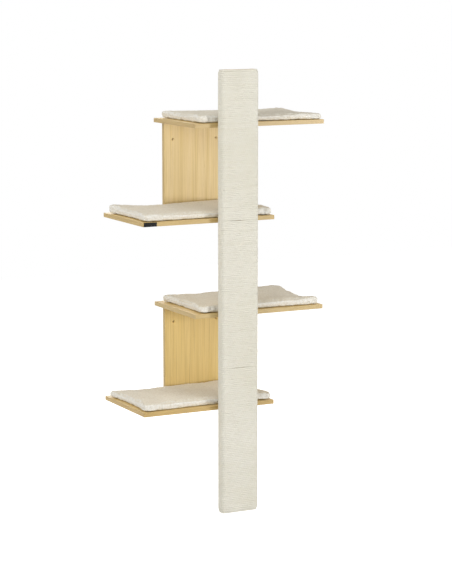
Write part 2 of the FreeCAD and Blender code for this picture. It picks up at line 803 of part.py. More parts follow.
def tabs(low, high, margin=0.0):
    """Four tabs under a pad's corners, grown by margin, about the pad's middle."""
    length = size("tab_length") + 2 * margin
    width = size("tab_width") + 2 * margin
    reach_x = pad_length() / 2 - size("tab_inset") - size("tab_length") / 2
    reach_y = pad_depth() / 2 - size("tab_inset") - size("tab_width") / 2
    corners = [
        Vector(x * reach_x - length / 2, y * reach_y - width / 2, low)
        for x in (-1, 1) for y in (-1, 1)
    ]
    return [Part.makeBox(length, width, high - low, corner) for corner in corners]


def make_pads():
    hook_top = size("tab_thickness")
    loop_low = hook_top + size("fit_gap")
    loop_top = loop_low + size("tab_thickness")
    form = pad_form()
    form.translate(Vector(0, 0, size("pad_seat")))
    form = form.cut(tabs(0, loop_top, size("tab_clearance")))
    hooks = []
    for tier, unit, is_upper in TIERS:
        middle = Placement(Vector(
            shelf_left(is_upper) + size(tier + "_pad_inset") + pad_length() / 2,
            -size("pad_back_gap") - pad_depth() / 2,
            shelf_low(unit, is_upper) + size("board_thickness"),
        ), Rotation())
        keep_shape(tier + "_pad", form.Solids[0].copy(), middle)
        keep_shape(tier + "_pad_loop_tabs", Part.makeCompound(tabs(loop_low, loop_top)), middle)
        for tab in tabs(0, hook_top):
            hooks += placed(tab, middle)
    keep_shape("shelf_hook_tabs", Part.makeCompound(hooks))


# Assembly

for tier, unit, is_upper in TIERS:
    make_shelf(tier, unit, is_upper)
    make_shelf_band(tier, unit, is_upper)
    for side_name, side in SIDES:
        make_bracket(tier, side_name, side, shelf_low_text(unit, is_upper))
for unit, name in enumerate(UNITS):
    make_panel(unit, name)
    make_panel_bands(unit, name)
make_shelf_joints()
make_bracket_screws()
make_post()
make_pads()
doc.recompute()

# Every object is sound, every cut took material away, and every sub-part is made of whole solids

for thing in doc.Objects:
    if "Invalid" in thing.State or "Error" in thing.State:
        raise RuntimeError(f"{thing.Label} did not recompute: {thing.State}")
for cut in cuts:
    if cut.BaseFeature.Shape.Volume - cut.Shape.Volume < 1.0:
        raise RuntimeError(f"{cut.Label} in {cut.getParentGeoFeatureGroup().Label} removes nothing")
for part in parts:
    if part.Shape.isNull() or not part.Shape.isValid() or not part.Shape.Solids:
        raise RuntimeError(f"{part.Label} is not a sound solid")

os.makedirs("parts", exist_ok=True)
for part in parts:
    part.Shape.exportStep(f"parts/{part.Label}.step")
print(f"{len(parts)} sub-parts, {sum(len(part.Shape.Solids) for part in parts)} solids")
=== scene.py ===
import math

import bmesh
import bpy
import numpy as np
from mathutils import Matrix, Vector, noise


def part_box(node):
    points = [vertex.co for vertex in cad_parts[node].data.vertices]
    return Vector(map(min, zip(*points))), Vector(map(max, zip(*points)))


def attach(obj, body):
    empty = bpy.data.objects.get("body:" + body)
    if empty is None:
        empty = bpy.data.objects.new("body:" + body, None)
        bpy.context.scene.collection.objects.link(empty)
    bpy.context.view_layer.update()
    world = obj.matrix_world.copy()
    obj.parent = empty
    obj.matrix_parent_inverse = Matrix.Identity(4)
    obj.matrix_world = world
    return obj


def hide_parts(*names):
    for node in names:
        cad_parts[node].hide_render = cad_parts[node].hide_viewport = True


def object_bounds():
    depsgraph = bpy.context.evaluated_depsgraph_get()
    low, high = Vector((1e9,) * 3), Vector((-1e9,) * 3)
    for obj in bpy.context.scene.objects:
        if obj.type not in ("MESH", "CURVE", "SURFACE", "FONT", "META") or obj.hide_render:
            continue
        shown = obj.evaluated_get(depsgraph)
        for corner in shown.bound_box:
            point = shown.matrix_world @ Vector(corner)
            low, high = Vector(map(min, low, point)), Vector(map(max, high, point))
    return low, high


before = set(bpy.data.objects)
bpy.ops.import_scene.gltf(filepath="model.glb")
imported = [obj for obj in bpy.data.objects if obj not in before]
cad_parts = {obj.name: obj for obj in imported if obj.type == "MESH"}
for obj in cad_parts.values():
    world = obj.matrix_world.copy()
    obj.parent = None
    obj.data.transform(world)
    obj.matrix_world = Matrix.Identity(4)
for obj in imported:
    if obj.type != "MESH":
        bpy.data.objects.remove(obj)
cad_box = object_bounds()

# Looks of the cat wall shelf: laminate boards, a post wound with sisal rope, and four fleece pads.
# Lengths are in metres, in the same frame as the solids: +X right, +Y into the wall, +Z up.

TIERS = ("top", "second", "third", "bottom")
UNITS = ("upper", "lower")
SECTIONS = ("top", "middle", "bottom")
SIDES = ("left", "right")
SEED = 7

# Camera, solved from shelf, panel and post corners of the photograph
PHOTO_LONG_SIDE = 584
FOCAL_PIXELS = 2043.7
SENSOR_MM = 36.0
CAMERA_PLACE = Vector((-3.250, -6.620, 0.598))
CAMERA_YAW = math.radians(27.083)
CAMERA_PITCH = math.radians(8.942)
CAMERA_REACH = 100.0

# Rope winding
ROPE_TURNS = 78
ROPE_SEAT = 0.0003
CORE_EDGE_RADIUS = 0.006
RINGS_PER_TURN = 132
STRANDS = 3
POINTS_PER_STRAND = 3
LAY_LENGTH = 0.022
# Between the strands, as a share of the rope's radius
GROOVE_RADIUS = 0.94
# The winding's pull flattens the rope: it fills the pitch, and its section is between round and square
ROPE_FILL = 1.22
ROPE_SQUARENESS = 0.42
# In rope diameters: from a corner to where the rope climbs a turn, and from there to a cut end
CLIMB_INSET = 1.6
CUT_INSET = 0.4
CORNER_STEPS = 10
# How unevenly the rope lies: wavelengths along it in metres, then the height of the waves.
# It wanders up and down, lifts off its core, slips in its lay by an angle, and thickens by a share
WANDER = ((0.213, 0.371, 0.137), 0.00022)
LIFT = ((0.093, 0.171, 0.41), 0.00018)
LAY_SLIP = ((0.19, 0.33), 0.5)
THICKNESS_CHANGE = ((0.061, 0.153, 0.29), 0.03)
# The strands' tone drifts along the rope, and each half turn has a tone of its own
TONE_DRIFT = ((0.31, 0.83, 0.47), 0.5)
MIDDLE_TONE = 0.5
HALF_TURN_SHARE = 0.4
# The rope is on the front where its outward direction has a y below this
FRONT_FACING = -0.5
# Where two sections meet, the last turns part a little on the front
SEAM_PART = 0.0011
SEAM_TURNS = 5
SEAM_HALF_WIDTH = 0.055
# At the post's two free ends the last turns draw in, which rounds its corners.
# Turns are counted from the end, where the last one has its middle at half a turn
END_DRAW = 0.0032
END_TURNS = 1.8
END_TURN_MIDDLE = 0.5

# Pads
PAD_VOXEL = 0.005
PAD_FRAMES = 20
# As a share of the solid's height
PAD_START_HEIGHT = 0.92
PAD_MOST_MOVE = 0.005
# The cover as a cloth under pressure; a shrink below zero is growth
PAD_CLOTH = {
    "vertex_group_mass": "held",
    "quality": 4,
    "mass": 0.3,
    "tension_stiffness": 12.0,
    "compression_stiffness": 12.0,
    "shear_stiffness": 5.0,
    "bending_stiffness": 0.6,
    "shrink_min": -0.03,
    "use_pressure": True,
    "uniform_pressure_force": 4.0,
}
COVER_SMOOTHING = 0.6
TUFT_SIZE = 0.0085
TUFT_HEIGHT = 0.0016
# A tuft rises where its cell's distance is under this, and is hollow past it
TUFT_LEVEL = 0.45
FUZZ_SIZE = 0.0032
FUZZ_HEIGHT = 0.0006
# Where the cover turns from its sides to its top, and the top's painted shade begins: the upward share of
# its direction
TOP_SLOPE = 0.75
# How far the filling pushes a pad's corners out, and how closely the push keeps to them along x and y
CORNER_PUSH = 0.003
CORNER_FOCUS = (4, 2)
# The seam round a pad's top holds its edge nearly square: plan corner, edge height, reach and squareness
PAD_CORNER = 0.018
EDGE_TOP = 0.0235
EDGE_REACH = 0.018
EDGE_POWER = 7.0
# Keeps a division clear of zero; points this near the middle of the edge's round stay where they are
TINY = 1e-9
LEAST_ROUND = 1e-3
# A faint ridge along a pad's top edge, over the seam allowance inside
RIM_LIFT = 0.0008
RIM_INSET = 0.011
RIM_WIDTH = 0.008
# A pad's lower edge tucks under and lifts in an uneven line
TUCK_IN = 0.010
TUCK_HEIGHT = 0.006
TUCK_WAVE = 0.024
HEM_LIFT = 0.0016
HEM_REACH = 0.012
# How far the slack cover spreads past its solid: at each pad's left end, right end and back,
# and at the front of all four
PAD_SPREAD = {
    "top": (0.000, 0.001, 0.000),
    "second": (0.011, 0.000, -0.008),
    "third": (-0.007, -0.005, 0.000),
    "bottom": (0.004, 0.008, -0.006),
}
FRONT_SPREAD = 0.003

# Blank tag on the second shelf's front edge
TAG_INSET = 0.002
TAG_LENGTH = 0.049
TAG_MARGIN = 0.0001
TAG_THICKNESS = 0.0008
TAG_RIM = 0.0012
TAG_RIM_SEGMENTS = 5

# Stage
FLOOR_DROP = 0.30
FLOOR_SIZE = 14.0
FLOOR_COLOUR = (0.8, 0.8, 0.8, 1.0)
FLOOR_GLOW = 0.75
STUDIO_COLOUR = (1.0, 0.98, 0.945, 1.0)
STUDIO_STRENGTH = 0.425
BACKGROUND_COLOUR = (1.0, 1.0, 1.0, 1.0)
BACKGROUND_STRENGTH = 1.0
# Softboxes: name, azimuth and elevation in degrees, distance and width in metres, watts, colour
LAMPS = (
    ("key", 36, 4, 5.0, 0.8, 113, (1.0, 0.995, 0.985)),
    ("fill", -66, 26, 5.5, 2.8, 154, (1.0, 0.995, 0.985)),
    ("top", -10, 66, 4.0, 2.0, 18, (1.0, 0.94, 0.84)),
    ("back", 172, 14, 5.5, 2.6, 95, (1.0, 0.99, 0.97)),
)

random = np.random.default_rng(SEED)


# Material helpers

class Paint:
    """One procedural material: a Principled shader and the nodes that feed it."""

    def __init__(self, name, **constants):
        self.material = bpy.data.materials.new(name)
        self.material.use_nodes = True
        self.tree = self.material.node_tree
        self.shader = self.tree.nodes["Principled BSDF"]
        for socket, value in constants.items():
            self.shader.inputs[socket.replace("_", " ")].default_value = value
        self.place = self.node("ShaderNodeTexCoord").outputs["Object"]

    def node(self, kind, inputs=None, **settings):
        made = self.tree.nodes.new(kind)
        for name, value in settings.items():
            setattr(made, name, value)
        for name, value in (inputs or {}).items():
            self.feed(made.inputs[name], value)
        return made

    def feed(self, socket, value):
        """Links a socket to another node's output, or sets its value."""
        if isinstance(value, bpy.types.NodeSocket):
            self.tree.links.new(value, socket)
        else:
            socket.default_value = value

    def noise(self, scale, detail=3.0, roughness=0.5, distortion=0.0):
        """Noise in the object's own place; scale is cells per metre along each axis."""
        stretch = self.node("ShaderNodeMapping", {"Vector": self.place, "Scale": scale})
        texture = self.node("ShaderNodeTexNoise", {
            "Vector": stretch.outputs["Vector"], "Scale": 1.0, "Detail": detail,
            "Roughness": roughness, "Distortion": distortion,
        })
        return texture.outputs["Fac"]

    def cells(self, scale):
        """Distance to the middle of the nearest cell; scale is cells per metre along each axis."""
        stretch = self.node("ShaderNodeMapping", {"Vector": self.place, "Scale": scale})
        texture = self.node("ShaderNodeTexVoronoi", {"Vector": stretch.outputs["Vector"], "Scale": 1.0})
        return texture.outputs["Distance"]

    def ramp(self, fac, *stops):
        """A colour or grey that follows fac through (position, colour) stops."""
        made = self.node("ShaderNodeValToRGB", {"Fac": fac})
        ramp = made.color_ramp
        while len(ramp.elements) < len(stops):
            ramp.elements.new(1.0)
        for element, (position, colour) in zip(ramp.elements, stops):
            element.position = position
            element.color = (*colour, 1.0) if len(colour) == 3 else (colour[0],) * 3 + (1.0,)
        return made.outputs["Color"]

    def mix(self, fac, first, second, blend="MIX"):
        made = self.node("ShaderNodeMix", data_type="RGBA", blend_type=blend)
        for name, value in (("Factor", fac), ("A", first), ("B", second)):
            kind = "VALUE" if name == "Factor" else "RGBA"
            socket = next(s for s in made.inputs if s.name == name and s.type == kind)
            self.feed(socket, (*value, 1.0) if isinstance(value, tuple) else value)
        return next(s for s in made.outputs if s.type == "RGBA")

    def sum(self, first, second, share):
        """First plus a share of second."""
        made = self.node("ShaderNodeMath", operation="MULTIPLY_ADD")
        self.feed(made.inputs[0], second)
        self.feed(made.inputs[1], share)
        self.feed(made.inputs[2], first)
        return made.outputs["Value"]

    def attribute(self, name):
        return self.node("ShaderNodeAttribute", attribute_name=name).outputs["Fac"]

    def colour(self, value):
        self.feed(self.shader.inputs["Base Color"], value)

    def roughness(self, fac, low, high):
        self.feed(self.shader.inputs["Roughness"], self.ramp(fac, (0.0, (low,)), (1.0, (high,))))

    def bump(self, height, distance, strength):
        inputs = {"Height": height, "Distance": distance, "Strength": strength}
        made = self.node("ShaderNodeBump", inputs)
        self.feed(self.shader.inputs["Normal"], made.outputs["Normal"])


# Materials

WHITE = (1.0, 1.0, 1.0)
WOOD_LIGHT = (0.745, 0.565, 0.265)
WOOD_MIDDLE = (0.680, 0.495, 0.195)
WOOD_DARK = (0.540, 0.355, 0.120)
# Boards from different batches: each panel and each shelf's edge band has its own tone
PANEL_TINTS = {
    "upper": (0.935, 0.975, 1.085),
    "lower": (0.905, 0.893, 0.745),
}
PANEL_BAND_TINT = (0.72, 0.72, 0.72)
SHELF_BAND_TINTS = {
    "top": (0.72, 0.71, 0.73),
    "second": (0.73, 0.71, 0.66),
    "third": (0.74, 0.75, 0.80),
    "bottom": (0.72, 0.68, 0.60),
}
# Printed lines of the edge bands, in cells per metre along each axis
PANEL_BAND_LINES = (600.0, 600.0, 8.0)
SHELF_BAND_LINES = (9.0, 9.0, 620.0)


def along(axis, fine, slow):
    """Noise scale that is slow along one axis and fine across it."""
    return tuple(slow if i == axis else fine for i in range(3))


def tinted_woods(tint):
    return (tuple(c * t for c, t in zip(wood, tint)) for wood in (WOOD_LIGHT, WOOD_MIDDLE, WOOD_DARK))


def laminate(name, axis, tint=WHITE):
    """Printed wood grain under a satin melamine skin, the grain running along one axis."""
    paint = Paint(name, Specular_IOR_Level=0.45)
    bands = paint.noise(along(axis, 26.0, 0.9), detail=2.0, distortion=0.25)
    fibres = paint.noise(along(axis, 420.0, 4.0), detail=4.0, roughness=0.62)
    pores = paint.noise(along(axis, 900.0, 26.0), detail=1.0)
    light, middle, dark = tinted_woods(tint)
    broad = paint.ramp(bands, (0.30, middle), (0.52, light), (0.70, middle))
    streaks = paint.ramp(fibres, (0.30, (0.74, 0.68, 0.60)), (0.52, WHITE), (0.75, (1.05, 1.04, 1.02)))
    grain = paint.mix(0.75, broad, streaks, "MULTIPLY")
    fleck = paint.ramp(pores, (0.66, (0.0,)), (0.74, (0.45,)))
    paint.colour(paint.mix(fleck, grain, dark))
    paint.roughness(fibres, 0.42, 0.58)
    paint.bump(fibres, 0.00012, 0.5)
    return paint.material


def edge_band(name, scale, tint):
    """Plastic edge band printed with the same wood, its lines running along the edge."""
    paint = Paint(name, Specular_IOR_Level=0.5)
    lines = paint.noise(scale, detail=3.0, roughness=0.6)
    wash = paint.noise((9.0, 9.0, 9.0), detail=1.0)
    light, middle, dark = tinted_woods(tint)
    printed = paint.ramp(lines, (0.28, dark), (0.5, middle), (0.72, light))
    toned = paint.ramp(wash, (0.3, (0.93, 0.92, 0.90)), (0.7, WHITE))
    paint.colour(paint.mix(1.0, printed, toned, "MULTIPLY"))
    paint.roughness(lines, 0.36, 0.5)
    paint.bump(lines, 0.0001, 0.4)
    return paint.material


def core_wood():
    """Sawn softwood with growth lines."""
    paint = Paint("core_wood", Specular_IOR_Level=0.3)
    rings = paint.noise((70.0, 150.0, 2.5), detail=3.0, distortion=0.4)
    fibres = paint.noise((700.0, 700.0, 18.0), detail=2.0)
    late, middle, early = (0.42, 0.26, 0.12), (0.66, 0.47, 0.26), (0.72, 0.54, 0.33)
    board = paint.ramp(rings, (0.32, late), (0.48, middle), (0.66, early))
    fine = paint.ramp(fibres, (0.3, (0.84, 0.82, 0.78)), (0.65, WHITE))
    paint.colour(paint.mix(0.8, board, fine, "MULTIPLY"))
    paint.roughness(fibres, 0.68, 0.86)
    paint.bump(fibres, 0.0003, 0.6)
    return paint.material


def zinc_steel():
    """Zinc plating with faint spangle and rub marks."""
    paint = Paint("zinc_steel", Metallic=0.95)
    spangle = paint.cells((260.0, 260.0, 260.0))
    rubs = paint.noise((90.0, 900.0, 900.0), detail=3.0)
    plate = paint.ramp(spangle, (0.1, (0.52, 0.53, 0.55)), (0.8, (0.66, 0.66, 0.67)))
    wear_and_top_shade = paint.ramp(rubs, (0.35, (0.86, 0.86, 0.86)), (0.65, WHITE))
    paint.colour(paint.mix(0.7, plate, wear_and_top_shade, "MULTIPLY"))
    paint.roughness(rubs, 0.28, 0.46)
    paint.bump(rubs, 0.00006, 0.4)
    return paint.material


def sisal():
    """Bleached sisal: pale fibres, with painted shade in the grooves between strands."""
    paint = Paint("sisal_rope", Specular_IOR_Level=0.2, Sheen_Weight=0.15, Sheen_Roughness=0.6)
    tone = paint.attribute("tone")
    groove = paint.attribute("groove")
    fibres = paint.noise((520.0, 520.0, 1900.0), detail=3.0, roughness=0.6)
    wash = paint.noise((7.0, 7.0, 3.5), detail=2.0)
    dull, middle, pale = (0.724, 0.707, 0.628), (0.742, 0.729, 0.662), (0.758, 0.748, 0.688)
    strand = paint.ramp(tone, (0.0, dull), (0.5, middle), (1.0, pale))
    shaded, plain, lit = (0.93, 0.92, 0.895), (0.99, 0.985, 0.975), (1.01, 1.01, 1.005)
    fine = paint.ramp(fibres, (0.28, shaded), (0.5, plain), (0.72, lit))
    toned = paint.ramp(wash, (0.35, (0.965, 0.96, 0.935)), (0.65, WHITE))
    hair = paint.mix(1.0, paint.mix(0.9, strand, fine, "MULTIPLY"), toned, "MULTIPLY")
    # Painted shade: the rope is darker at the points between its strands.
    shade = paint.ramp(groove, (0.0, WHITE), (1.0, (0.95, 0.94, 0.915)))
    paint.colour(paint.mix(1.0, hair, shade, "MULTIPLY"))
    paint.roughness(fibres, 0.78, 0.95)
    paint.bump(fibres, 0.0003, 0.6)
    return paint.material


def fleece():
    """Short curly pile: pale tufts with painted shade, darker and warmer, in the hollows between them, and
    painted shade, darker and warmer, on top.
    """
    paint = Paint("fleece", Specular_IOR_Level=0.15, Sheen_Weight=0.2, Sheen_Roughness=0.55)
    tufts = paint.cells((150.0, 150.0, 150.0))
    curls = paint.noise((620.0, 620.0, 620.0), detail=4.0, roughness=0.65)
    wash = paint.noise((16.0, 16.0, 16.0), detail=2.0)
    # Painted shade: the pile turns darker and warmer from each tuft's middle out to the hollows between
    # tufts.
    tip, side, hollow = (0.860, 0.856, 0.820), (0.810, 0.795, 0.742), (0.730, 0.698, 0.623)
    pile = paint.ramp(tufts, (0.05, tip), (0.55, side), (0.95, hollow))
    fine = paint.ramp(curls, (0.28, (0.86, 0.845, 0.81)), (0.55, WHITE), (0.75, (1.03, 1.03, 1.03)))
    toned = paint.ramp(wash, (0.3, (0.95, 0.94, 0.92)), (0.7, WHITE))
    # Painted shade: the cover's upward faces are darker and warmer.
    wear_and_top_shade = paint.ramp(paint.attribute("top"), (0.0, WHITE), (1.0, (0.966, 0.924, 0.844)))
    before_top_shade = paint.mix(1.0, paint.mix(0.9, pile, fine, "MULTIPLY"), toned, "MULTIPLY")
    paint.colour(paint.mix(1.0, before_top_shade, wear_and_top_shade, "MULTIPLY"))
    paint.roughness(curls, 0.88, 1.0)
    paint.bump(paint.sum(curls, tufts, -0.8), 0.0016, 0.75)
    return paint.material


def hook_tape():
    """Hook-and-loop tape: rows of tiny loops on a woven ground."""
    paint = Paint("hook_tape", Specular_IOR_Level=0.25, Sheen_Weight=0.2)
    loops = paint.cells((760.0, 760.0, 760.0))
    weave = paint.noise((1500.0, 300.0, 900.0), detail=2.0)
    ground = paint.ramp(loops, (0.1, (0.83, 0.81, 0.77)), (0.7, (0.62, 0.60, 0.56)))
    woven = paint.ramp(weave, (0.35, (0.88, 0.88, 0.88)), (0.6, WHITE))
    paint.colour(paint.mix(0.8, ground, woven, "MULTIPLY"))
    paint.roughness(weave, 0.75, 0.92)
    paint.bump(loops, 0.0006, 0.8)
    return paint.material


def tag_black():
    """Satin black plastic with a fine moulded grain."""
    paint = Paint("tag_black", Specular_IOR_Level=0.15)
    grain = paint.noise((1600.0, 1600.0, 1600.0), detail=2.0)
    wash = paint.noise((60.0, 60.0, 60.0), detail=1.0)
    paint.colour(paint.ramp(wash, (0.3, (0.006, 0.006, 0.006)), (0.7, (0.012, 0.012, 0.012))))
    paint.roughness(grain, 0.55, 0.7)
    paint.bump(grain, 0.00008, 0.6)
    return paint.material


def dress(node, material):
    """Gives one of the solids its material."""
    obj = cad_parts[node]
    obj.data.materials.clear()
    obj.data.materials.append(material)


def dress_boards_and_fittings():
    boards = laminate("laminate_shelf", axis=0)
    panel_band = edge_band("edge_band_panel", PANEL_BAND_LINES, PANEL_BAND_TINT)
    steel = zinc_steel()
    wood = core_wood()
    tape = hook_tape()
    for tier in TIERS:
        dress(f"{tier}_shelf", boards)
        shelf_band = edge_band(f"edge_band_{tier}_shelf", SHELF_BAND_LINES, SHELF_BAND_TINTS[tier])
        dress(f"{tier}_shelf_edge_band", shelf_band)
        dress(f"{tier}_pad_loop_tabs", tape)
        for side in SIDES:
            dress(f"{tier}_bracket_{side}", steel)
    for unit in UNITS:
        dress(f"{unit}_back_panel", laminate(f"laminate_{unit}_panel", axis=2, tint=PANEL_TINTS[unit]))
        dress(f"{unit}_panel_edge_bands", panel_band)
    for section in SECTIONS:
        dress(f"post_core_{section}", wood)
    for node in ("shelf_screws", "bracket_shelf_screws", "bracket_post_screws", "post_studs"):
        dress(node, steel)
    for node in ("shelf_dowels", "post_dowels"):
        dress(node, wood)
    dress("shelf_hook_tabs", tape)


def new_object(name, mesh, material, body):
    """A smooth piece of one material that rides on a body."""
    obj = bpy.data.objects.new(name, mesh)
    bpy.context.scene.collection.objects.link(obj)
    mesh.materials.clear()
    mesh.materials.append(material)
    mesh.polygons.foreach_set("use_smooth", [True] * len(mesh.polygons))
    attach(obj, body)
    return obj


# Rope winding

def ease(share):
    """Goes from 0 to 1 with a soft start and end."""
    share = np.clip(share, 0.0, 1.0)
    return share * share * (3 - 2 * share)


def ripple(length, wavelengths, height):
    """A smooth uneven line along the rope: a few waves with random phases."""
    total = np.zeros_like(length)
    for wavelength in wavelengths:
        total += np.sin(math.tau * (length / wavelength + random.random()))
    return total * height / len(wavelengths)


def squared(wave):
    """Turns a circle's sine or cosine into that of a rounded square."""
    return np.sign(wave) * np.abs(wave) ** ROPE_SQUARENESS


def plan_outline(half_x, half_y, corner):
    """The winding's plan from the back's right end, round by the left: the length so far, and at each
    point x, y and the outward angle."""
    flat_x = half_x - corner
    flat_y = half_y - corner
    centres = ((-flat_x, flat_y), (-flat_x, -flat_y), (flat_x, -flat_y), (flat_x, flat_y))
    points = [(flat_x, half_y, math.pi / 2)]
    for quarter, (x, y) in enumerate(centres, 1):
        for step in range(CORNER_STEPS + 1):
            angle = math.pi / 2 * (quarter + step / CORNER_STEPS)
            points.append((x + corner * math.cos(angle), y + corner * math.sin(angle), angle))
    points = np.array(points)
    steps = np.hypot(*np.diff(points[:, :2], axis=0).T)
    return np.concatenate([[0.0], np.cumsum(steps)]), points


def winding_line(section, rope_box, core_box):
    """Middle line of one section's rope, its outward directions, how far along the rope each point is, the
    rope's width and the pitch of its turns."""
    core_low, core_high = core_box
    across = rope_box[1].x - core_high.x - ROPE_SEAT
    reach = ROPE_SEAT + across / 2
    half_x = core_high.x + reach
    half_y = (core_high.y - core_low.y) / 2 + reach
    middle_y = (core_high.y + core_low.y) / 2
    so_far, plan = plan_outline(half_x, half_y, CORE_EDGE_RADIUS + reach)
    loop = so_far[-1]
    flat_x = core_high.x - CORE_EDGE_RADIUS
    climb_half = flat_x - CLIMB_INSET * across
    climb_from, climb_to = flat_x - climb_half, flat_x + climb_half
    start = climb_to + CUT_INSET * across
    stop = ROPE_TURNS * loop + climb_from - CUT_INSET * across
    length = np.linspace(start, stop, ROPE_TURNS * RINGS_PER_TURN)
    turn = np.floor(length / loop)
    here = length - turn * loop
    x, y, angle = (np.interp(here, so_far, plan[:, i]) for i in range(3))
    low, high = core_low.z, core_high.z
    pitch = (high - low) / ROPE_TURNS
    climbed = turn - 0.5 + ease((here - climb_from) / (climb_to - climb_from))
    z = low + climbed * pitch
    z += ripple(length, *WANDER)
    outward = np.stack([np.cos(angle), np.sin(angle), np.zeros_like(angle)], axis=1)
    on_front = np.where(outward[:, 1] < FRONT_FACING, 1.0, 0.0) * np.exp(-(x / SEAM_HALF_WIDTH) ** 2)
    drawn = np.zeros_like(z)
    for end, away, joined in ((low, 1, section != "bottom"), (high, -1, section != "top")):
        from_end = np.abs(z - end) / pitch
        if joined:
            z += away * SEAM_PART * on_front * np.clip(1 - from_end / SEAM_TURNS, 0, 1)
        else:
            drawn += END_DRAW * np.clip(1 - (from_end - END_TURN_MIDDLE) / END_TURNS, 0, 1) ** 2
    line = np.stack([x, y + middle_y, z], axis=1)
    line += outward * (ripple(length, *LIFT) - LIFT[1] - drawn)[:, None]
    return line, outward, length, across, pitch


def rope_mesh(section):
    """One section's winding as a twisted rope of three strands, from cut end to cut end."""
    boxes = [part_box(f"post_{kind}_{section}") for kind in ("rope", "core")]
    line, outward, length, across, pitch = winding_line(section, *boxes)
    sides = STRANDS * POINTS_PER_STRAND
    rings = len(line)
    tangent = np.gradient(line, axis=0)
    tangent /= np.linalg.norm(tangent, axis=1)[:, None]
    upward = np.cross(outward, tangent)
    upward /= np.linalg.norm(upward, axis=1)[:, None]
    lay = math.tau * length / LAY_LENGTH + ripple(length, *LAY_SLIP)
    side = np.arange(sides)
    angle = lay[:, None] + math.tau * side / sides
    is_groove = side % POINTS_PER_STRAND == 0
    radius = np.where(is_groove, GROOVE_RADIUS, 1.0)[None, :]
    thick = 1 + ripple(length, *THICKNESS_CHANGE)
    radius = radius * thick[:, None]
    depth = radius * squared(np.cos(angle)) * across / 2
    height = radius * squared(np.sin(angle)) * pitch / 2 * ROPE_FILL
    points = line[:, None] + outward[:, None] * depth[..., None] + upward[:, None] * height[..., None]
    first = np.arange(rings - 1)[:, None] * sides
    nearby = first + side
    onward = first + (side + 1) % sides
    faces = np.stack([nearby, onward, onward + sides, nearby + sides], axis=2).reshape(-1, 4)
    last = (rings - 1) * sides
    caps = [tuple(range(sides))[::-1], tuple(range(last, last + sides))]
    mesh = bpy.data.meshes.new(f"sisal_winding_{section}")
    mesh.from_pydata(points.reshape(-1, 3).tolist(), [], faces.tolist() + caps)
    strand = side // POINTS_PER_STRAND
    drift = np.stack([ripple(length, *TONE_DRIFT) + MIDDLE_TONE for _ in range(STRANDS)], axis=1)
    half_turns = ROPE_TURNS * 2
    half_turn = (length / length[-1] * (half_turns - 1)).astype(int)
    own = random.random(half_turns)[half_turn]
    tones = np.clip((1 - HALF_TURN_SHARE) * drift[:, strand] + HALF_TURN_SHARE * own[:, None], 0, 1)
    write_attribute(mesh, "tone", tones)
    # The groove attribute marks the points between strands, which the sisal material darkens as painted
    # shade.
    write_attribute(mesh, "groove", np.broadcast_to(is_groove[None, :].astype(float), (rings, sides)))
    return mesh


def write_attribute(mesh, name, values):
    made = mesh.attributes.new(name, "FLOAT", "POINT")
    made.data.foreach_set("value", np.ascontiguousarray(values, dtype=np.float32).ravel())


def wind_post():
    material = sisal()
    for section in SECTIONS:
        mesh = rope_mesh(section)
        winding = new_object(f"sisal_winding_{section}", mesh, material, "wall_frame")
        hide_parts(f"post_rope_{section}")


# Pads

# Lumps in each pad's filling: x and y in shares of the pad's half size, height, and spread in metres
PAD_LUMPS = {
    "top": (
        (0.0, 0.0, -0.0035, 0.26), (0.98, -0.30, -0.006, 0.085), (0.70, 0.8, -0.003, 0.12),
        (-0.75, -0.9, 0.003, 0.08), (0.97, -0.95, -0.001, 0.05),
    ),
    "second": (
        (-0.95, 0.85, 0.005, 0.07), (-0.40, 0.5, -0.003, 0.11), (-0.25, -0.9, -0.0025, 0.14),
        (0.95, -0.7, 0.004, 0.07), (0.5, 0.9, 0.003, 0.12),
    ),
    "third": (
        (0.70, 0.8, 0.0045, 0.10), (0.99, -0.28, -0.009, 0.085), (0.2, -0.9, 0.002, 0.15),
        (-0.5, 0.1, -0.003, 0.12), (0.97, -0.97, 0.003, 0.05),
    ),
    "bottom": (
        (-0.3, 0.9, -0.004, 0.17), (-0.95, 0.9, -0.003, 0.08), (-0.1, -0.95, 0.0025, 0.16),
        (0.6, 0.2, -0.002, 0.10),
    ),
}


def points_of(mesh):
    flat = np.zeros(len(mesh.vertices) * 3, np.float32)
    mesh.vertices.foreach_get("co", flat)
    return flat.reshape(-1, 3).astype(float)


def set_points(mesh, points):
    mesh.vertices.foreach_set("co", points.astype(np.float32).ravel())
    mesh.update()


def evaluated_mesh(obj):
    graph = bpy.context.evaluated_depsgraph_get()
    return bpy.data.meshes.new_from_object(obj.evaluated_get(graph))


def even_blank(tier, low, high):
    """The pad's solid, a little lower, as an even skin of small faces."""
    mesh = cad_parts[f"{tier}_pad"].data.copy()
    middle = (np.array(low) + np.array(high)) / 2
    middle[2] = low.z
    shrink = np.array((1.0, 1.0, PAD_START_HEIGHT))
    set_points(mesh, (points_of(mesh) - middle) * shrink + middle)
    blank = bpy.data.objects.new("pad_blank", mesh)
    bpy.context.scene.collection.objects.link(blank)
    remesh = blank.modifiers.new("skin", "REMESH")
    remesh.mode = "VOXEL"
    remesh.voxel_size = PAD_VOXEL
    skin = evaluated_mesh(blank)
    bpy.data.objects.remove(blank)
    return skin


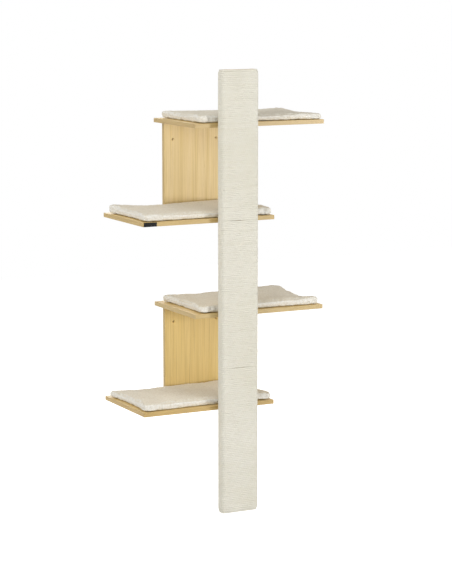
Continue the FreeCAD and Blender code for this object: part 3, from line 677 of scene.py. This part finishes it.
def puff(skin, low):
    """Lets the cover swell over its filling, the underside held flat; no point moves far."""
    rest = points_of(skin)
    obj = bpy.data.objects.new("pad_cover", skin)
    bpy.context.scene.collection.objects.link(obj)
    held = obj.vertex_groups.new(name="held")
    under = [i for i, point in enumerate(rest) if point[2] < low.z + PAD_VOXEL / 2]
    held.add(under, 1.0, "REPLACE")
    cloth = obj.modifiers.new("cover", "CLOTH")
    for name, value in PAD_CLOTH.items():
        setattr(cloth.settings, name, value)
    cloth.settings.effector_weights.gravity = 0.0
    cloth.point_cache.frame_end = PAD_FRAMES
    for step in range(1, PAD_FRAMES + 1):
        bpy.context.scene.frame_set(step)
    puffed = points_of(evaluated_mesh(obj))
    bpy.context.scene.frame_set(1)
    bpy.data.objects.remove(obj)
    move = puffed - rest
    far = np.maximum(np.linalg.norm(move, axis=1) / PAD_MOST_MOVE, 1.0)
    return rest + move / far[:, None]


def plan_of(low, high):
    """A box's middle and half size in plan."""
    middle = (np.array(low) + np.array(high)) / 2
    half = (np.array(high) - np.array(low)) / 2
    return middle[:2], half[:2]


def add_lumps(points, tier, low, high):
    """Raises and lowers the cover over the lumps and dips in its filling, and along its rim."""
    middle, half = plan_of(low, high)
    lift = ease((points[:, 2] - low.z) / (high.z - low.z))
    for x, y, height, spread in PAD_LUMPS[tier]:
        apart = points[:, :2] - (middle + half * (x, y))
        points[:, 2] += lift * height * np.exp(-(apart ** 2).sum(axis=1) / spread ** 2)
    from_edge = (half - np.abs(points[:, :2] - middle)).min(axis=1)
    points[:, 2] += lift * RIM_LIFT * np.exp(-((from_edge - RIM_INSET) / RIM_WIDTH) ** 2)
    return points


def spread_cover(points, tier, low, high):
    """Spreads the cover evenly to the ends, back and front that it reaches on its shelf."""
    left, right, back = PAD_SPREAD[tier]
    across = (points[:, 0] - low.x) / (high.x - low.x)
    inward = (points[:, 1] - low.y) / (high.y - low.y)
    points[:, 0] += right * across - left * (1 - across)
    points[:, 1] += back * inward - FRONT_SPREAD * (1 - inward)
    return points


def plan_inset(points, low, high):
    """How far each point is inside the pad's outline in plan, and the way out."""
    middle, half = plan_of(low, high)
    apart = points[:, :2] - middle
    past = np.abs(apart) - (half - PAD_CORNER)
    beyond = np.maximum(past, 0.0)
    reach = np.linalg.norm(beyond, axis=1)
    inset = PAD_CORNER - reach - np.minimum(past.max(axis=1), 0.0)
    round_corner = beyond / np.maximum(reach, TINY)[:, None]
    straight_side = np.eye(2)[past.argmax(axis=1)]
    way = np.where(reach[:, None] > 0, round_corner, straight_side)
    return inset, way * np.sign(apart)


def square_edges(points, low, high):
    """Turns the round of the cover's top edge into a nearly square one."""
    inset, way = plan_inset(points, low, high)
    out = np.clip(1 - inset / EDGE_REACH, 0, 1)
    up = np.clip(1 - (low.z + EDGE_TOP - points[:, 2]) / EDGE_REACH, 0, 1)
    round_size = np.hypot(out, up)
    square_size = np.maximum(out ** EDGE_POWER + up ** EDGE_POWER, TINY) ** (1 / EDGE_POWER)
    growth = np.where(square_size > LEAST_ROUND, round_size / square_size - 1, 0.0)
    points[:, :2] += way * (EDGE_REACH * out * growth)[:, None]
    points[:, 2] += EDGE_REACH * up * growth
    return points


def fill_corners(points, low, high):
    """Pushes the cover out at a pad's four corners, where the filling is packed tightest."""
    middle, half = plan_of(low, high)
    share = (points[:, :2] - middle) / half
    near_corner = ((share ** 2) ** CORNER_FOCUS).prod(axis=1)
    points[:, :2] += CORNER_PUSH * near_corner[:, None] * np.sign(share)
    return points


def tuck_under(points, low, high):
    """Draws a pad's lower edge in, in an uneven line, so that the sides overhang a little."""
    middle, half = plan_of(low, high)
    rise = np.clip((points[:, 2] - low.z) / TUCK_HEIGHT, 0, 1)
    uneven = np.array([1 + noise.noise(Vector((x, y, 0)) / TUCK_WAVE) for x, y in points[:, :2]])
    inset, _ = plan_inset(points, low, high)
    tuck = TUCK_IN * (1 - rise) ** 2 * uneven
    points[:, :2] -= tuck[:, None] * (points[:, :2] - middle) / half
    points[:, 2] += HEM_LIFT * uneven * (1 - rise) * np.exp(-np.maximum(inset, 0.0) / HEM_REACH)
    return points


def subdivide(mesh):
    """Makes each face four, rounded between the old points."""
    made = bmesh.new()
    made.from_mesh(mesh)
    edges = made.edges[:]
    bmesh.ops.subdivide_edges(made, edges=edges, cuts=1, use_grid_fill=True, smooth=COVER_SMOOTHING)
    made.to_mesh(mesh)
    made.free()


def add_tufts(mesh, low):
    """Raises the pile in small tufts, less towards the underside, which stays above the shelf."""
    points = points_of(mesh)
    normals = np.zeros(len(points) * 3, np.float32)
    mesh.vertex_normals.foreach_get("vector", normals)
    normals = normals.reshape(-1, 3)
    # Marks how far the cover faces up, which sets its painted shade on top.
    write_attribute(mesh, "top", ease((normals[:, 2] - TOP_SLOPE) / (1 - TOP_SLOPE)))
    for i, point in enumerate(points):
        cell = noise.voronoi(Vector(point) / TUFT_SIZE)[0][0]
        fuzz = noise.noise(Vector(point) / FUZZ_SIZE)
        points[i] += normals[i] * (TUFT_HEIGHT * (TUFT_LEVEL - cell) + FUZZ_HEIGHT * fuzz)
    points[:, 2] = np.maximum(points[:, 2], low.z)
    set_points(mesh, points)


def make_pad(tier, material):
    low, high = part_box(f"{tier}_pad")
    mesh = even_blank(tier, low, high)
    points = puff(mesh.copy(), low)
    points = square_edges(points, low, high)
    points = add_lumps(points, tier, low, high)
    points = fill_corners(points, low, high)
    points = tuck_under(points, low, high)
    points = spread_cover(points, tier, low, high)
    set_points(mesh, points)
    subdivide(mesh)
    add_tufts(mesh, low)
    pad = new_object(f"{tier}_fleece_pad", mesh, material, f"{tier}_pad_body")
    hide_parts(f"{tier}_pad")


# Blank tag

def runs_through(edge):
    """True for an edge that goes from the tag's back to its front."""
    return abs(edge.verts[0].co.y - edge.verts[1].co.y) > TAG_THICKNESS / 2


def make_tag():
    """A small plate with round corners and a raised rim, flat on the edge band."""
    low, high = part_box("second_shelf_edge_band")
    made = bmesh.new()
    left, right = low.x + TAG_INSET, low.x + TAG_INSET + TAG_LENGTH
    foot, head = low.z + TAG_MARGIN, high.z - TAG_MARGIN
    corners = ((left, foot), (right, foot), (right, head), (left, head))
    plate = made.faces.new([made.verts.new((x, low.y, z)) for x, z in corners])
    extruded = bmesh.ops.extrude_face_region(made, geom=[plate])
    front = [item for item in extruded["geom"] if isinstance(item, bmesh.types.BMVert)]
    bmesh.ops.translate(made, verts=front, vec=(0.0, -TAG_THICKNESS, 0.0))
    made.normal_update()
    short = [edge for edge in made.edges if runs_through(edge)]
    bmesh.ops.bevel(
        made, geom=short, offset=TAG_RIM, segments=TAG_RIM_SEGMENTS, profile=0.5, affect="EDGES",
    )
    face = min(made.faces, key=lambda f: f.calc_center_median().y)
    bmesh.ops.inset_region(made, faces=[face], thickness=TAG_RIM / 2, depth=0.0)
    bmesh.ops.inset_region(made, faces=[face], thickness=TAG_RIM / 4, depth=-TAG_THICKNESS / 3)
    bmesh.ops.recalc_face_normals(made, faces=made.faces[:])
    mesh = bpy.data.meshes.new("blank_tag")
    made.to_mesh(mesh)
    made.free()
    tag = new_object("blank_tag", mesh, tag_black(), "wall_frame")
    tag.data.polygons.foreach_set("use_smooth", [False] * len(tag.data.polygons))


# Stage, lights and camera

def white_to_camera(tree, lit, white):
    """Shows the white shader to camera, glossy and transmission rays, and the lit one to the rest."""
    path = tree.nodes.new("ShaderNodeLightPath")
    seen = path.outputs["Is Camera Ray"]
    for kind in ("Is Glossy Ray", "Is Transmission Ray"):
        either = tree.nodes.new("ShaderNodeMath")
        either.operation = "MAXIMUM"
        tree.links.new(seen, either.inputs[0])
        tree.links.new(path.outputs[kind], either.inputs[1])
        seen = either.outputs["Value"]
    mix = tree.nodes.new("ShaderNodeMixShader")
    tree.links.new(seen, mix.inputs["Fac"])
    tree.links.new(lit, mix.inputs[1])
    tree.links.new(white, mix.inputs[2])
    return mix.outputs["Shader"]


def make_world():
    """An even studio light, seen as white."""
    world = bpy.data.worlds.new("studio")
    bpy.context.scene.world = world
    world.use_nodes = True
    tree = world.node_tree
    lit = tree.nodes["Background"]
    lit.inputs["Color"].default_value = STUDIO_COLOUR
    lit.inputs["Strength"].default_value = STUDIO_STRENGTH
    white = tree.nodes.new("ShaderNodeBackground")
    white.inputs["Color"].default_value = BACKGROUND_COLOUR
    white.inputs["Strength"].default_value = BACKGROUND_STRENGTH
    shown = white_to_camera(tree, lit.outputs["Background"], white.outputs["Background"])
    tree.links.new(shown, tree.nodes["World Output"].inputs["Surface"])


def make_floor():
    """A pale floor below the hanging shelf: white to the camera where no shadow falls, clear from below."""
    mesh = bpy.data.meshes.new("floor")
    half = FLOOR_SIZE / 2
    level = cad_box[0].z - FLOOR_DROP
    corners = [(x * half, y * half, level) for x, y in ((-1, -1), (1, -1), (1, 1), (-1, 1))]
    mesh.from_pydata(corners, [], [(0, 1, 2, 3)])
    floor = bpy.data.objects.new("floor", mesh)
    bpy.context.scene.collection.objects.link(floor)
    material = bpy.data.materials.new("pale_floor")
    material.use_nodes = True
    tree = material.node_tree
    tree.nodes.clear()
    diffuse = tree.nodes.new("ShaderNodeBsdfDiffuse")
    diffuse.inputs["Color"].default_value = FLOOR_COLOUR
    glow = tree.nodes.new("ShaderNodeEmission")
    glow.inputs["Strength"].default_value = FLOOR_GLOW
    both = tree.nodes.new("ShaderNodeAddShader")
    tree.links.new(diffuse.outputs["BSDF"], both.inputs[0])
    tree.links.new(glow.outputs["Emission"], both.inputs[1])
    shown = white_to_camera(tree, diffuse.outputs["BSDF"], both.outputs["Shader"])
    clear = tree.nodes.new("ShaderNodeBsdfTransparent")
    side = tree.nodes.new("ShaderNodeNewGeometry")
    mix = tree.nodes.new("ShaderNodeMixShader")
    tree.links.new(side.outputs["Backfacing"], mix.inputs["Fac"])
    tree.links.new(shown, mix.inputs[1])
    tree.links.new(clear.outputs["BSDF"], mix.inputs[2])
    output = tree.nodes.new("ShaderNodeOutputMaterial")
    tree.links.new(mix.outputs["Shader"], output.inputs["Surface"])
    mesh.materials.append(material)


def add_lamp(name, azimuth, elevation, distance, width, watts, colour):
    """A square softbox that looks at the object's middle; azimuth 0 is in front and 90 at the right."""
    middle = (cad_box[0] + cad_box[1]) / 2
    a, e = math.radians(azimuth), math.radians(elevation)
    towards = Vector((math.sin(a) * math.cos(e), -math.cos(a) * math.cos(e), math.sin(e)))
    data = bpy.data.lights.new(name, "AREA")
    data.shape = "SQUARE"
    data.size = width
    data.energy = watts
    data.color = colour
    lamp = bpy.data.objects.new(name, data)
    bpy.context.scene.collection.objects.link(lamp)
    lamp.location = middle + towards * distance
    lamp.rotation_mode = "QUATERNION"
    lamp.rotation_quaternion = (-towards).to_track_quat("-Z", "Y")


def make_camera():
    data = bpy.data.cameras.new("photo_camera")
    data.sensor_width = SENSOR_MM
    data.lens = FOCAL_PIXELS / PHOTO_LONG_SIDE * SENSOR_MM
    data.clip_end = CAMERA_REACH
    camera = bpy.data.objects.new("photo_camera", data)
    bpy.context.scene.collection.objects.link(camera)
    ahead = Vector((
        math.sin(CAMERA_YAW) * math.cos(CAMERA_PITCH),
        math.cos(CAMERA_YAW) * math.cos(CAMERA_PITCH),
        -math.sin(CAMERA_PITCH),
    ))
    camera.location = CAMERA_PLACE
    camera.rotation_mode = "QUATERNION"
    camera.rotation_quaternion = ahead.to_track_quat("-Z", "Y")
    bpy.context.scene.camera = camera


make_camera()
make_world()
make_floor()
for lamp in LAMPS:
    add_lamp(*lamp)
bpy.context.scene.view_settings.view_transform = "Standard"

dress_boards_and_fittings()
wind_post()
pile = fleece()
for tier in TIERS:
    make_pad(tier, pile)
make_tag()
